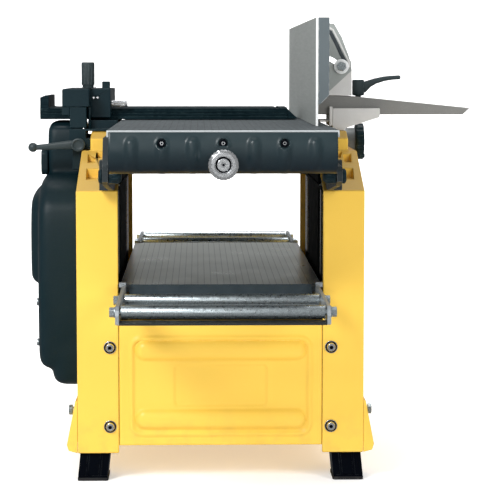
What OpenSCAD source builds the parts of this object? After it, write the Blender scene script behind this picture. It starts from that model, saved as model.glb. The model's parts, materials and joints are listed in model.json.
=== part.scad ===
// Combined surface planer and thicknesser, an assembly of separate pieces.
// X runs across the tables, Y along them with the surfacing infeed at -Y, Z up. All in millimetres.
// Origin: centre of the four foot bolts, level with the undersides of the feet.

/* [Side frames] */
// Width over the two side frames
frame_w = 380; // [340:1:420]
// Clear width between the side frames
opening_w = 270; // [262:1:280]
// Front-to-back depth of the side frames
frame_d = 480; // [440:5:520]
// Steel thickness of the side frames
sheet_t = 3; // [2:0.5:4]
// Height of the side frames' lower edge
frame_z = 39; // [30:1:60]
// Height of the front and rear shoulders
shoulder_z = 389; // [370:1:400]
// Height where the slopes meet the top block
slope_z = 436; // [420:1:440]
// Front-to-back run of each slope
slope_run = 112; // [90:1:125]
// Outer X of the top block
block_x = 178; // [170:1:186]

/* [Tables] */
// Height of the surfacing tables
table_z = 476; // [450:1:500]
// Width of the surfacing tables
table_w = 276; // [260:1:280]
// Distance from the cutterblock axis to a surfacing table's outer end
table_reach = 448; // [400:1:500]
// Half gap between the two surfacing tables' lips
lip_y = 34; // [33:1:45]
// Height of the thicknessing table at rest
thick_z = 267; // [200:1:400]
// Width of the thicknessing table
thick_w = 264; // [240:1:268]
// Length of the thicknessing table
thick_l = 512; // [400:1:560]

/* [Cutting and feed] */
// Height of the cutterblock axis
cutter_z = 444.5; // [440:0.5:446]
// Radius of the cutterblock
cutter_r = 31; // [28:0.5:31]
// Radius of the knives' cutting circle
cut_r = 31.4; // [29:0.1:31.5]
// Distance of each feed roller from the cutterblock axis
feed_y = 57; // [52:1:60]
// Radius of the feed rollers
feed_r = 15; // [12:1:16]

/* [Extension rollers] */
// Radius of an extension roller
roller_r = 8; // [6:0.5:10]
// Distance of the inner extension rollers from the centre
roller_in = 344; // [320:1:360]
// Distance of the outer extension rollers from the centre
roller_out = 442; // [400:1:450]

/* [Fence] */
// X of the fence's working face
fence_x = 119; // [100:1:122]
// Height of the fence above the tables
fence_h = 137; // [100:1:150]
// Near end of the fence
fence_y0 = -320; // [-350:1:-250]
// Far end of the fence
fence_y1 = 280; // [200:1:350]

/* [Feet] */
// Half distance between the foot bolts across the machine
foot_x = 171; // [165:1:171]
// Half distance between the foot bolts along the machine
foot_y = 209.5; // [205:0.5:212]
// Radius of the foot bolt holes
foot_hole_r = 4.5; // [3:0.5:6]

/* [Hidden] */
ox = opening_w / 2;
fx = frame_w / 2;
hd = frame_d / 2;
by = hd - slope_run;
block_z1 = 453;
block_z2 = 462;
tw = table_w / 2;
plate_t = 8;
plate_z = table_z - plate_t;
slope_k = (slope_z - shoulder_z) / slope_run;
skin_z = sheet_t * sqrt(1 + slope_k * slope_k);
screw_x = 146.5;
screw_zs = [181, 75];
cover_screw_zs = [172, 228];
switch_y = -33;
button_ys = [switch_y - 18, switch_y + 18];
motor_y = -110;
motor_z = 172;
belt_x0 = -222;
belt_x1 = -202;
pulley_cut_r = 20;
pulley_mot_r = 28;
wheel_y = 112;
wheel_z = 438;
screw_cx = 163;
column_xy = 150;
column_r = 12;
roller_z = thick_z - 8.5;
kick_y = 88;
kick_z = 438;
tilt_x = 133.5;
tilt_z = 512.5;
bolt_x = 171.5;
bolt_z = 551.8;
tilt_r = norm([bolt_x - tilt_x, bolt_z - tilt_z]);
bolt_a = atan2(bolt_z - tilt_z, bolt_x - tilt_x);
guard_top = 494;
post_x = -198;
lever_x = -195;
lever_z = 444;
post_y = -94;
knob_y = -392;
knob_z = 418;
fit = 0.05;
yellow = [0.98, 0.78, 0.25];
black = [0.07, 0.08, 0.09];
steel = [0.62, 0.64, 0.66];
grey = [0.5, 0.5, 0.49];
dark = [0.16, 0.2, 0.22];

// Node to draw

// ---- helpers ----
module box(a, b) {
  translate(a) cube([b[0] - a[0], b[1] - a[1], b[2] - a[2]]);
}
module rod_x(x0, x1, y, z, r) {
  translate([x0, y, z]) rotate([0, 90, 0]) cylinder(h = x1 - x0, r = r, $fn = 64);
}
module rod_y(x, y0, y1, z, r) {
  translate([x, y1, z]) rotate([90, 0, 0]) cylinder(h = y1 - y0, r = r, $fn = 64);
}
module rod_z(x, y, z0, z1, r) {
  translate([x, y, z0]) cylinder(h = z1 - z0, r = r, $fn = 64);
}
// A drawing in Y and Z, pushed along X
module slab_x(x0, x1) {
  translate([x0, 0, 0]) rotate([90, 0, 90]) linear_extrude(x1 - x0) children();
}
// A drawing in X and Z, pushed along Y
module slab_y(y0, y1) {
  translate([0, y1, 0]) rotate([90, 0, 0]) linear_extrude(y1 - y0) children();
}
module round_rect(w, h, r) {
  square([w, h - 2 * r], center = true);
  square([w - 2 * r, h], center = true);
  for (sx = [-1, 1]) for (sz = [-1, 1])
    translate([sx * (w / 2 - r), sz * (h / 2 - r)]) circle(r = r, $fn = 48);
}
module both_x() {
  children();
  mirror([1, 0, 0]) children();
}
module both_y() {
  children();
  mirror([0, 1, 0]) children();
}
module hex_y(x, y0, y1, z, r) {
  translate([x, y1, z]) rotate([90, 0, 0]) cylinder(h = y1 - y0, r = r, $fn = 6);
}
module hex_x(x0, x1, y, z, r) {
  translate([x0, y, z]) rotate([0, 90, 0]) cylinder(h = x1 - x0, r = r, $fn = 6);
}

// ---- side frames ----
function slope_at(t) = shoulder_z + (slope_z - shoulder_z) * t;
// Notches in a slope: two X limits, then the share of the slope's run where each begins and ends
notches = [[163, 179, 0.26, 0.55], [170, 180, 0.68, 0.92], [157, 168, 0.8, 0.98]];
module notch_boxes(g) {
  for (n = notches) both_y()
    box([n[0] - g, -hd + slope_run * n[2] - g, slope_at(n[2]) - g],
        [n[1] + g, -hd + slope_run * n[3] + g, slope_z + 30]);
}
module frame_low(g) {
  polygon([[-hd + g, frame_z - 2 * g], [-hd + g, shoulder_z + (g > 0 ? slope_k * g - skin_z : 0)],
    [-by, slope_z - (g > 0 ? skin_z : 0)], [by, slope_z - (g > 0 ? skin_z : 0)],
    [hd - g, shoulder_z + (g > 0 ? slope_k * g - skin_z : 0)], [hd - g, frame_z - 2 * g]]);
}
module frame_top(g) {
  polygon([[-by + g, slope_z - 10 - 2 * g], [-by + g, block_z1 - g * 0.6], [-by + 26, block_z2 - g],
    [by - 26, block_z2 - g], [by - g, block_z1 - g * 0.6], [by - g, slope_z - 10 - 2 * g]]);
}
module frame_shell() {
  difference() {
    union() {
      slab_x(ox, fx) frame_low(0);
      slab_x(ox, block_x) frame_top(0);
    }
    difference() {
      union() {
        slab_x(ox - 1, fx - sheet_t) frame_low(sheet_t);
        slab_x(ox - 1, block_x - sheet_t) frame_top(sheet_t);
      }
      notch_boxes(sheet_t);
    }
    notch_boxes(0);
    both_y() for (z = screw_zs) rod_y(screw_x, -hd - 5, -hd + 10, z, 3.2);
    both_y() rod_x(fx - 10, fx + 5, -foot_y, 91.7, 4.2);
  }
}
module side_frame_right() color(yellow) difference() {
  frame_shell();
  rod_x(block_x - 6, fx + 5, wheel_y, wheel_z, 20.6);
}
module side_frame_left() color(yellow) difference() {
  mirror([1, 0, 0]) frame_shell();
  rod_x(-fx - 5, -fx + 10, motor_y, motor_z, 14);
  rod_x(-fx - 5, -block_x + 6, 0, cutter_z, 13);
}

// ---- panels, tray, screws ----
module panel() {
  difference() {
    union() {
      box([-ox + 0.2, -hd, 49], [ox - 0.2, -hd + sheet_t, 215]);
      box([-ox + 0.2, -hd + sheet_t, 212], [ox - 0.2, -hd + 22, 215]);
      both_x() box([ox - 3.2, -hd + sheet_t, 49], [ox - 0.2, -hd + 22, 212]);
      both_x() for (z = screw_zs)
        box([ox - 3.2, -hd + sheet_t + 0.2, z - 14], [ox + 24, -hd + 2 * sheet_t, z + 14]);
      translate([0, 0, 129]) slab_y(-hd - 2.5, -hd) difference() {
        round_rect(244, 136, 14);
        round_rect(232, 124, 9);
      }
      for (z = [177, 85]) slab_y(-hd - 3.5, -hd) translate([0, z]) round_rect(224, 24, 11.5);
      slab_y(-hd - 1.5, -hd) translate([0, 130]) round_rect(122, 52, 8);
    }
    both_x() for (z = screw_zs) rod_y(screw_x, -hd - 5, -hd + 10, z, 3.2);
  }
}
module front_panel() color(yellow) panel();
module rear_panel() color(yellow) mirror([0, 1, 0]) panel();
module base_tray() color(yellow) {
  box([-fx + 3.2, -180, 42], [fx - 3.2, 180, 45]);
  both_y() box([-140, -204, 42], [140, -180, 45]);
}
module panel_screws() color(steel) both_y() both_x() for (z = screw_zs) {
  rod_y(screw_x, -hd - 1.4, -hd, z, 8.5);
  rod_y(screw_x, -hd, -hd + 7.6, z, 3.1);
  translate([screw_x, -hd - 1.4, z]) rotate([90, 0, 0]) difference() {
    cylinder(h = 4.2, r1 = 6.5, r2 = 5, $fn = 48);
    translate([0, 0, 2.6]) cylinder(h = 3, r = 2.6, $fn = 6);
  }
}

// ---- legs ----
leg_tilt = 5.7;
module leg() {
  difference() {
    union() {
      difference() {
        translate([foot_x, -foot_y, 0]) rotate([0, -leg_tilt, 0]) translate([0, 0, -10]) linear_extrude(118)
          union() {
            difference() {
              square([39, 45], center = true);
              translate([0, 3]) square([33, 45], center = true);
            }
            for (x = [-10, 7]) translate([x, -23.6]) square([3, 1.6]);
          }
        box([100, -300, -30], [250, -100, 6.8]);
        box([100, -300, 98], [250, -100, 140]);
      }
      box([foot_x - 20, -foot_y - 22.5, 4], [foot_x + 19, -foot_y + 22.5, 7]);
    }
    rod_z(foot_x, -foot_y, 0, 20, foot_hole_r);
    rod_x(foot_x, fx + 5, -foot_y, 91.7, 4.2);
  }
}
module legs() color(black) both_x() both_y() leg();
module foot_pads() color(black) both_x() both_y() difference() {
  translate([foot_x - 0.5, -foot_y, 0]) linear_extrude(4) round_rect(41, 47, 4);
  rod_z(foot_x, -foot_y, -1, 5, foot_hole_r);
}
module leg_covers() color(yellow) both_x() both_y() difference() {
  slab_y(-hd + 0.5, -foot_y + 34) polygon([[fx + 0.1, 109], [fx + 3, 109], [fx + 14.5, 50], [fx + 12, 42],
    [fx + 0.1, frame_z]]);
  slab_y(-hd + 3, -foot_y + 31.5) polygon([[fx - 1, 106], [fx + 1, 106], [fx + 11.9, 50], [fx + 9, 43],
    [fx - 1, 36]]);
  rod_x(fx - 5, fx + 20, -foot_y, 91.7, 4.2);
}
module hex_bolts() color(steel) {
  both_x() both_y() {
    hex_x(fx + 8.4, fx + 13.4, -foot_y, 91.7, 7);
    rod_x(fx - 14, fx + 8.4, -foot_y, 91.7, 4);
  }
  both_x() both_y() rod_z(column_xy, column_xy, 389.2, 391, 13);
  both_x() both_y() translate([column_xy, column_xy, 391]) cylinder(h = 8, r = 11, $fn = 6);
}

// ---- inner plates and columns ----
module inner_plates() color(black) both_x() difference() {
  union() {
    slab_x(139, 145) polygon([[-97, 45], [-97, 418], [-94.5, 422], [-94.5, 450.5], [-71, 458.7], [71, 458.7],
      [94.5, 450.5], [94.5, 422], [97, 418], [97, 45]]);
    box([137.5, -172, 384], [172, 172, 389]);
    box([145, -97, 45], [168, 97, 49]);
  }
  rod_x(130, 150, 0, cutter_z, 14);
  both_y() rod_x(130, 150, feed_y, kick_z - 11, 7 + fit);
  rod_x(130, 150, kick_y, kick_z, 5 + fit);
  both_y() rod_z(column_xy, column_xy, 380, 392, column_r - 1);
  rod_z(screw_cx, wheel_y, 380, 392, 9 + fit);
}
module guide_columns() color(steel) both_x() both_y() {
  rod_z(column_xy, column_xy, 45, 384, column_r);
  rod_z(column_xy, column_xy, 384, 389.2, column_r - 1);
}
module block_bearings() color(steel) both_x() difference() {
  union() {
    rod_x(137, 151, 0, cutter_z, 14);
    rod_x(145, 149, 0, cutter_z, 14.4);
  }
  rod_x(130, 160, 0, cutter_z, 10 + fit);
}

// ---- cutterblock and feed ----
module radial_box(v0, v1, u0, u1, x0, x1) {
  for (k = [0, 1]) translate([0, 0, cutter_z]) rotate([35 + 180 * k, 0, 0]) box([x0, v0, u0], [x1, v1, u1]);
}
module cutterblock() color(steel) {
  difference() {
    rod_x(-131, 131, 0, cutter_z, cutter_r);
    radial_box(-3, 9, 12, 40, -140, 140);
    radial_box(8.9, 16, 25, 40, -140, 140);
  }
  rod_x(131, 162, 0, cutter_z, 10);
  rod_x(-229, -131, 0, cutter_z, 10);
  difference() {
    rod_x(belt_x0 - 2, belt_x1 + 2, 0, cutter_z, pulley_cut_r + 3);
    translate([belt_x0 - 0.5, 0, cutter_z]) rotate([0, 90, 0]) difference() {
      cylinder(h = belt_x1 - belt_x0 + 1, r = pulley_cut_r + 10, $fn = 64);
      translate([0, 0, -1]) cylinder(h = belt_x1 - belt_x0 + 3, r = pulley_cut_r, $fn = 64);
    }
  }
}
module knives() color(steel) {
  radial_box(-3, 0, 12, cut_r - 0.2, -130, 130);
  radial_box(0, 9, 12, 27, -129, 129);
}
module feed_roller_front() color(black) {
  rod_x(-131, 131, -feed_y, kick_z - 11, feed_r);
  rod_x(-152, 165, -feed_y, kick_z - 11, 7);
}
module feed_roller_rear() color(steel) {
  translate([0, feed_y, kick_z - 11]) slab_x(-131, 131) difference() {
    circle(r = feed_r, $fn = 64);
    for (k = [0 : 17]) rotate(k * 20) translate([feed_r + 0.4, 0]) circle(r = 1.6, $fn = 16);
  }
  rod_x(-152, 165, feed_y, kick_z - 11, 7);
}
module kickback_fingers() color(steel) {
  rod_x(-147, 147, kick_y, kick_z, 5);
  for (k = [-10 : 10]) slab_x(k * 12 - 3, k * 12 + 3) {
    translate([kick_y, kick_z]) circle(r = 8, $fn = 32);
    polygon([[kick_y - 6, kick_z], [kick_y + 4, kick_z - 4], [kick_y - 1, kick_z - 26],
      [kick_y - 5, kick_z - 29], [kick_y - 9, kick_z - 26]]);
  }
}
module feed_gearbox() color(grey) difference() {
  union() {
    slab_x(147, 168) translate([0, 431]) round_rect(148, 52, 12);
    slab_x(168, 172) translate([0, 431]) round_rect(136, 40, 8);
  }
  rod_x(140, 151.5, 0, cutter_z, 18);
  rod_x(140, 164, 0, cutter_z, 10.4);
  both_y() rod_x(140, 166.5, feed_y, kick_z - 11, 7.4);
  rod_x(140, 148, kick_y, kick_z, 6);
}

// ---- motor, belt, cover ----
module motor_housing() color(grey) {
  difference() {
    union() {
      translate([0, motor_y, motor_z]) slab_x(-70, 96) {
        circle(r = 49, $fn = 96);
        for (k = [0 : 23]) rotate(k * 15) translate([47, -1.25]) square([7, 2.5]);
      }
      rod_x(96, 124, motor_y, motor_z, 53);
      rod_x(-78, -70, motor_y, motor_z, 42);
    }
    rod_x(-80, -30, motor_y, motor_z, 8 + fit);
    for (a = [0 : 45 : 315]) rod_x(120, 126, motor_y + 33 * cos(a), motor_z + 33 * sin(a), 8);
  }
  for (y = [motor_y - 46, motor_y + 26]) box([-50, y, 45], [80, y + 20, 138]);
  box([-30, motor_y - 36, 214], [60, motor_y + 36, 233]);
}
module motor_rotor() color(steel) {
  rod_x(-229, -31, motor_y, motor_z, 8);
  difference() {
    rod_x(belt_x0 - 2, belt_x1 + 2, motor_y, motor_z, pulley_mot_r + 3);
    translate([belt_x0 - 0.5, motor_y, motor_z]) rotate([0, 90, 0]) difference() {
      cylinder(h = belt_x1 - belt_x0 + 1, r = pulley_mot_r + 10, $fn = 64);
      translate([0, 0, -1]) cylinder(h = belt_x1 - belt_x0 + 3, r = pulley_mot_r, $fn = 64);
    }
  }
}
// A belt's outline round two pulleys
module tangent_loop(p, rp, q, rq) {
  hull() {
    translate(p) circle(r = rp, $fn = 64);
    translate(q) circle(r = rq, $fn = 64);
  }
}
module drive_belt() color(black) slab_x(belt_x0 + 1, belt_x1 - 1) difference() {
  tangent_loop([motor_y, motor_z], pulley_mot_r + 4.4, [0, cutter_z], pulley_cut_r + 4.4);
  tangent_loop([motor_y, motor_z], pulley_mot_r + 0.4, [0, cutter_z], pulley_cut_r + 0.4);
}
module cover_side(g) {
  polygon([[-148 + g, 103 + g], [148 - g, 103 + g], [170 - g, 140], [170 - g, 345], [150 - g, 380 - g],
    [100, 404 - g], [-100, 404 - g], [-150 + g, 380 - g], [-170 + g, 345], [-170 + g, 140]]);
}
module cover_front(g) {
  polygon([[-fx - 0.1 + g * 2, 100], [-fx - 0.1 + g * 2, 430], [-242 + g, 430], [-242 + g, 386],
    [-249.4 + g, 374], [-249.4 + g, 163], [-246 + g, 151], [-235 + g, 133], [-229 + g, 120],
    [-214 + g * 0.5, 109 + g], [-fx - 3, 103 + g]]);
}
module cover_upper(g) {
  polygon([[-fx - 0.1 + g * 2, 384], [-242 + g, 384], [-242 + g, 455], [-240 + g, 469 - g],
    [-234, 475 - g], [-fx - 0.1 + g * 2, 475 - g]]);
}
module cover_solid(g) {
  intersection() {
    slab_x(-257, -fx + 2) cover_side(g);
    slab_y(-180, 180) cover_front(g);
  }
  slab_y(-75 + g, 75 - g) cover_upper(g);
  intersection() {
    slab_x(-264, -240) polygon([[-120 + g, 246 + g], [120 - g, 246 + g], [134 - g, 262], [134 - g, 352],
      [114 - g, 384 - g], [-114 + g, 384 - g], [-134 + g, 352], [-134 + g, 262]]);
    slab_y(-140, 140) polygon([[-240, 246], [-249.4 + g, 246], [-256 + g, 251], [-262 + g, 264], [-262 + g, 350],
      [-257 + g, 366], [-249.4 + g, 384], [-240, 384]]);
  }
}
module belt_cover() color(dark) difference() {
  cover_solid(0);
  cover_solid(3);
  for (z = cover_screw_zs) both_y() rod_x(-260, -230, -140, z, 2.2);
}
module cover_screws() color(steel) for (z = cover_screw_zs) both_y() {
  rod_x(-252.4, -249.4, -140, z, 5);
  rod_x(-249.4, -239, -140, z, 2.1);
}
module switch_box() color(black) difference() {
  slab_x(-251.5, -242.1) translate([switch_y, 416.5]) round_rect(76, 35, 8);
  for (y = button_ys) rod_x(-260, -247, y, 416.5, 11.06);
}
module button(y) {
  rod_x(-251.4, -250, y, 416.5, 11);
  rod_x(-252.6, -251.4, y, 416.5, 9.5);
}
module start_button() color([0.1, 0.5, 0.2]) button(button_ys[0]);
module stop_button() color([0.8, 0.1, 0.1]) button(button_ys[1]);
module cable_gland() color(black) translate([-205, 170.1, 200]) rotate([-90, 0, 0]) difference() {
  union() {
    cylinder(h = 4, r = 10, $fn = 6);
    translate([0, 0, 4]) cylinder(h = 8, r = 7, $fn = 48);
    translate([0, 0, 12]) cylinder(h = 6, r1 = 7, r2 = 5.5, $fn = 48);
  }
  translate([0, 0, 2]) cylinder(h = 20, r = 4, $fn = 48);
}

// ---- surfacing tables ----
module table_casting() {
  slab_x(-tw, tw) polygon([[-table_reach, plate_z], [-table_reach, table_z - 1], [-table_reach + 1, table_z],
    [-lip_y, table_z], [-lip_y, table_z - 2.5], [-lip_y - 9, plate_z]]);
  both_x() box([128, -table_reach + 2, 434], [134, -98, plate_z]);
  box([-128, -table_reach + 2, 440], [128, -table_reach + 8, plate_z]);
  for (y = [-330, -215, -100]) box([-128, y, 446], [128, y + 6, plate_z]);
  for (x = [-64, 58]) box([x, -table_reach + 8, 452], [x + 6, -100, plate_z]);
}
module apron_profile(g) {
  polygon([[-448, 474 - g], [-458 + g, 474 - g], [-460 + g, 471 - g], [-460.5 + g, 450], [-459 + g, 436],
    [-455 + g, 428], [-449 + g, 424 + g], [-440, 424 + g], [-440, 431], [-448, 433.5]]);
}
module apron(knob) {
  difference() {
    union() {
      slab_x(-135.5, 135.5) apron_profile(0);
      for (k = [-3 : 3]) translate([k * 36.3, -456.5, 0]) intersection() {
        union() {
          rod_z(0, 0, 420, 460, 8);
          translate([0, 0, 460]) sphere(r = 8, $fn = 48);
        }
        box([-9, -6.5, 424.5], [9, 8.4, 470]);
      }
    }
    for (x = [-72.6, 0, 72.6]) {
      rod_y(x, -466, -454, 461, 5.4);
      rod_y(x, -456, -430, 461, 2.1);
    }
    if (knob) {
      rod_y(0, -470, -430, 436.6, 6 + fit);
      rod_y(0, -470, -460.6, 436.6, 20);
    }
  }
}
module apron_screw_set() {
  for (x = [-72.6, 0, 72.6]) difference() {
    union() {
      rod_y(x, -457, -454, 461, 4.6);
      rod_y(x, -454, -449, 461, 2);
    }
    hex_y(x, -458, -455.5, 461, 2.4);
  }
}
module infeed_table() color(grey) difference() {
  table_casting();
  rod_y(0, -460, -430, 436.6, 7);
}
module infeed_apron() color(black) apron(true);
module apron_screws() color(steel) apron_screw_set();
module outfeed_table() color(grey) mirror([0, 1, 0]) table_casting();
module outfeed_apron() color(black) mirror([0, 1, 0]) {
  apron(false);
  apron_screw_set();
}
module depth_knob() color(steel) translate([0, -461, 436.6]) rotate([90, 0, 0]) difference() {
  union() {
    translate([0, 0, -20]) cylinder(h = 20, r = 6, $fn = 64);
    cylinder(h = 4, r1 = 14, r2 = 18, $fn = 64);
    translate([0, 0, 4]) cylinder(h = 10, r = 18, $fn = 64);
    translate([0, 0, 14]) cylinder(h = 3, r1 = 18, r2 = 14.5, $fn = 64);
  }
  translate([0, 0, 11]) difference() {
    cylinder(h = 7, r = 10.5, $fn = 64);
    translate([0, 0, -1]) cylinder(h = 6, r = 7.5, $fn = 64);
  }
  for (k = [0 : 23]) rotate(k * 15) translate([18.6, 0, 3]) cylinder(h = 12, r = 1.1, $fn = 16);
  translate([0, 0, 14]) cylinder(h = 5, r = 3, $fn = 6);
}
module cheek(front) {
  slab_x(139, 146) difference() {
    polygon([[-404, 412], [-404, 424], [-398, 430], [front, 432], [front + 16, 464.5], [-129, 464.5], [-129, 437.4], [-hd, shoulder_z + 2],
      [-262, 391], [-380, 405]]);
    translate([knob_y, knob_z]) circle(r = 5 + fit, $fn = 64);
    translate([-280, 432]) circle(r = 14, $fn = 64);
  }
  box([146, -262, 391], [158, -241.5, 430]);
}
module table_cheeks() color(grey) both_y() {
  cheek(-318);
  mirror([1, 0, 0]) cheek(-398);
}
module lock_knob() {
  difference() {
    union() {
      translate([127, knob_y, knob_z]) rotate([0, 90, 0]) cylinder(h = 11.5, r = 9.5, $fn = 64);
      translate([123, knob_y, knob_z]) rotate([0, 90, 0]) cylinder(h = 4, r1 = 6, r2 = 9.5, $fn = 64);
    }
    for (k = [0 : 7]) translate([122, knob_y, knob_z]) rotate([k * 45, 0, 0])
      translate([0, 11, 0]) rotate([0, 90, 0]) cylinder(h = 13, r = 2.6, $fn = 24);
  }
  rod_x(138, 146.5, knob_y, knob_z, 5);
  rod_x(146.5, 149, knob_y, knob_z, 9.3);
  translate([149, knob_y, knob_z]) rotate([0, 90, 0]) cylinder(h = 2, r1 = 9.3, r2 = 7, $fn = 64);
}
module lock_knob_left() color(black) mirror([1, 0, 0]) lock_knob();
module lock_knob_right() color(black) lock_knob();

// ---- height drive ----
module wheel_housing() color(steel) difference() {
  rod_x(block_x - 4, 210, wheel_y, wheel_z, 20.5);
  rod_x(160, 215, wheel_y, wheel_z, 5 + fit);
}
module height_wheel() color(black) {
  difference() {
    union() {
      translate([210.5, wheel_y, wheel_z]) rotate([0, 90, 0]) cylinder(h = 3, r1 = 25, r2 = 27.5, $fn = 72);
      translate([213.5, wheel_y, wheel_z]) rotate([0, 90, 0]) cylinder(h = 9.5, r = 27.5, $fn = 72);
    }
    translate([215, wheel_y, wheel_z]) rotate([0, 90, 0]) cylinder(h = 10, r = 20, $fn = 72);
    for (k = [0 : 11]) translate([207, wheel_y, wheel_z]) rotate([k * 30 + 15, 0, 0])
      translate([0, 30, 0]) rotate([0, 90, 0]) cylinder(h = 20, r = 4, $fn = 32);
  }
  rod_x(214, 221, wheel_y, wheel_z, 9);
  rod_x(214, 225, wheel_y - 8, wheel_z - 21.5, 3.5);
  rod_x(173, 214, wheel_y, wheel_z, 5);
  translate([168, wheel_y, wheel_z]) rotate([0, 90, 0]) cylinder(h = 5, r1 = 4.7, r2 = 9.7, $fn = 48);
}
module lead_screw() color(steel) {
  difference() {
    rod_z(screw_cx, wheel_y, 46, 426, 9);
    for (z = [60 : 12 : 372]) translate([screw_cx, wheel_y, z]) difference() {
      cylinder(h = 2, r = 12, $fn = 48);
      translate([0, 0, -1]) cylinder(h = 4, r = 8.2, $fn = 48);
    }
  }
  translate([screw_cx, wheel_y, 426]) cylinder(h = 2, r = 9.7, $fn = 48);
  translate([screw_cx, wheel_y, 428]) cylinder(h = 5, r1 = 9.7, r2 = 4.7, $fn = 48);
}

// ---- thicknessing table ----
module ear() {
  box([130, 100, 196], [172, 172, 204]);
  box([130, 166, 196], [136.5, 172, 256]);
  box([126, 106, 196], [132, 172, 258]);
  rod_z(column_xy, column_xy, 190, 240, 18);
}
module thickness_table() color(grey) difference() {
  union() {
    box([-thick_w / 2, -thick_l / 2 + 4, thick_z - 10], [thick_w / 2, thick_l / 2 - 4, thick_z]);
    both_x() box([thick_w / 2 - 6, -thick_l / 2 + 4, thick_z - 22], [thick_w / 2, thick_l / 2 - 4, thick_z - 10]);
    both_y() box([-120, -thick_l / 2, thick_z - 14], [120, -thick_l / 2 + 10, thick_z]);
    for (x = [-60, 54]) box([x, -thick_l / 2 + 10, thick_z - 20], [x + 6, thick_l / 2 - 10, thick_z - 10]);
    for (y = [-153, -3, 147]) box([-thick_w / 2 + 6, y, thick_z - 20], [thick_w / 2 - 6, y + 6, thick_z - 10]);
    both_x() both_y() ear();
    rod_z(screw_cx, wheel_y, 190, 232, 14);
  }
  both_x() both_y() rod_z(column_xy, column_xy, 180, 260, column_r + fit);
  rod_z(screw_cx, wheel_y, 180, 260, 9 + fit);
}
module bracket_arm() {
  difference() {
    union() {
      slab_x(124, 128.5) polygon([[-256.1, 245], [-256.1, 270], [-262, 270], [-262, 266.5], [-448, 266.5],
        [-454, 262], [-456, 256], [-456, 246], [-450, 244], [-300, 244]]);
      box([118, -262, 264], [133, -256.1, 267]);
      box([128.5, -262, 264], [133, -256.1, 270]);
    }
    for (y = [-roller_in, -roller_out]) rod_x(110, 140, y, roller_z, 4 + fit);
  }
}
module roller_brackets() color(steel) both_y() {
  both_x() bracket_arm();
  box([-124, -456, 244.5], [124, -432, 247]);
  box([-124, -380, 244.5], [124, -356, 247]);
}
module roller_axles() color(steel) both_y() for (y = [-roller_in, -roller_out]) {
  rod_x(-128.5, 128.5, y, roller_z, 4);
  both_x() rod_x(128.5, 130, y, roller_z, 6.8);
  both_x() hex_x(130, 136, y, roller_z, 6.2);
}
module ext_roller(y) color(steel) difference() {
  rod_x(-122, 122, y, roller_z, roller_r);
  rod_x(-123, 123, y, roller_z, 4 + fit);
}
module roller_front_outer() ext_roller(-roller_out);
module roller_front_inner() ext_roller(-roller_in);
module roller_rear_inner() ext_roller(roller_in);
module roller_rear_outer() ext_roller(roller_out);

// ---- bridge guard ----
module guard_bracket() color(black) difference() {
  union() {
    box([-209, -106, 437], [-186, -82, 465]);
    box([-186, -112, 438], [-block_x - 0.1, -78, 452]);
    box([-190, -106, 462.2], [-143, -80, 465]);
    box([-184, -83.5, 462.2], [-143, 60, 476.4]);
  }
  box([post_x - 7.1, post_y - 7.1, 420], [post_x + 7.1, post_y + 7.1, 470]);
  rod_y(lever_x, -110, post_y - 6, lever_z, 4 + fit);
}
module guard_carrier() color(dark) difference() {
  union() {
    box([post_x - 7, post_y - 7, 408], [post_x + 7, post_y + 7, 470]);
    box([-208, -104, 466.5], [-185, -84, 496]);
    slab_y(-106, 54) polygon([[-218.5, 496], [-218.5, 519.5], [-217, 521], [-181, 521], [-181, 496]]);
    box([-218.5, -104, 484], [-208.2, -84, 496.1]);
    box([-181, -72, 496], [-153, 60, 520.5]);
    box([-181, -72, 480], [-153, -51.6, 496]);
    box([-181, 51.6, 480], [-153, 60, 496]);
    box([-165, -69, 520.5], [-154, -57, 531]);
    rod_z(-181.2, post_y, 465, 497, 1.6);
  }
  rod_x(-160, -150, -61, 499.4, 2.5 + fit);
  rod_z(-184.5, -70, 500, 530, 3 + fit);
  for (x = [-176.5, -171]) rod_y(x, -80, -71, 508, 1.8);
}
module guard_bar() color(black) difference() {
  guard_bar_body();
  box([82, -60, 491.5], [86, 60, 500]);
}
module guard_bar_body() {
  slab_x(-254, 98) difference() {
    polygon([[-51.3, 477], [-51.3, 492], [-48, 493.4], [0, guard_top], [48, 493.4], [51.3, 492],
      [51.3, 477], [47.3, 477], [47.3, 489.5], [-47.3, 489.5], [-47.3, 477]]);
    for (z = [480.5, 485.2, 489.8]) both_x() translate([-52.3, z]) square([1.8, 1.6]);
    for (y = [-36, -24, -12, 0, 12, 24, 36]) translate([y - 0.8, 492.8]) square([1.6, 4]);
  }
  slab_y(-50, 50) polygon([[98, 477.5], [98, 492], [113, 477.5]]);
  slab_y(-51, 51) polygon([[-254, 477], [-254.2, 508], [-247, 511], [-242, 511], [-242, 494], [-240, 494],
    [-240, 477]]);
}
module guard_knob() color(dark) difference() {
  union() {
    rod_z(-184.5, -70, 526, 556.5, 9.3);
    translate([-184.5, -70, 556.5]) cylinder(h = 1.5, r1 = 9.3, r2 = 8, $fn = 64);
    rod_z(-184.5, -70, 521.3, 526, 8);
    rod_z(-184.5, -70, 501, 521.3, 3);
  }
  for (k = [0 : 11]) translate([-184.5, -70, 528]) rotate(k * 30) translate([10, 0, 0])
    cylinder(h = 24, r = 1.2, $fn = 16);
}
module guard_screw() color(steel) difference() {
  union() {
    rod_x(-152.5, -129.5, -61, 499.4, 4.7);
    rod_x(-159.5, -152.5, -61, 499.4, 2.5);
  }
  for (k = [0 : 15]) translate([-150, -61, 499.4]) rotate([k * 22.5, 0, 0])
    translate([0, 5, 0]) rotate([0, 90, 0]) cylinder(h = 18, r = 0.6, $fn = 14);
}
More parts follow.
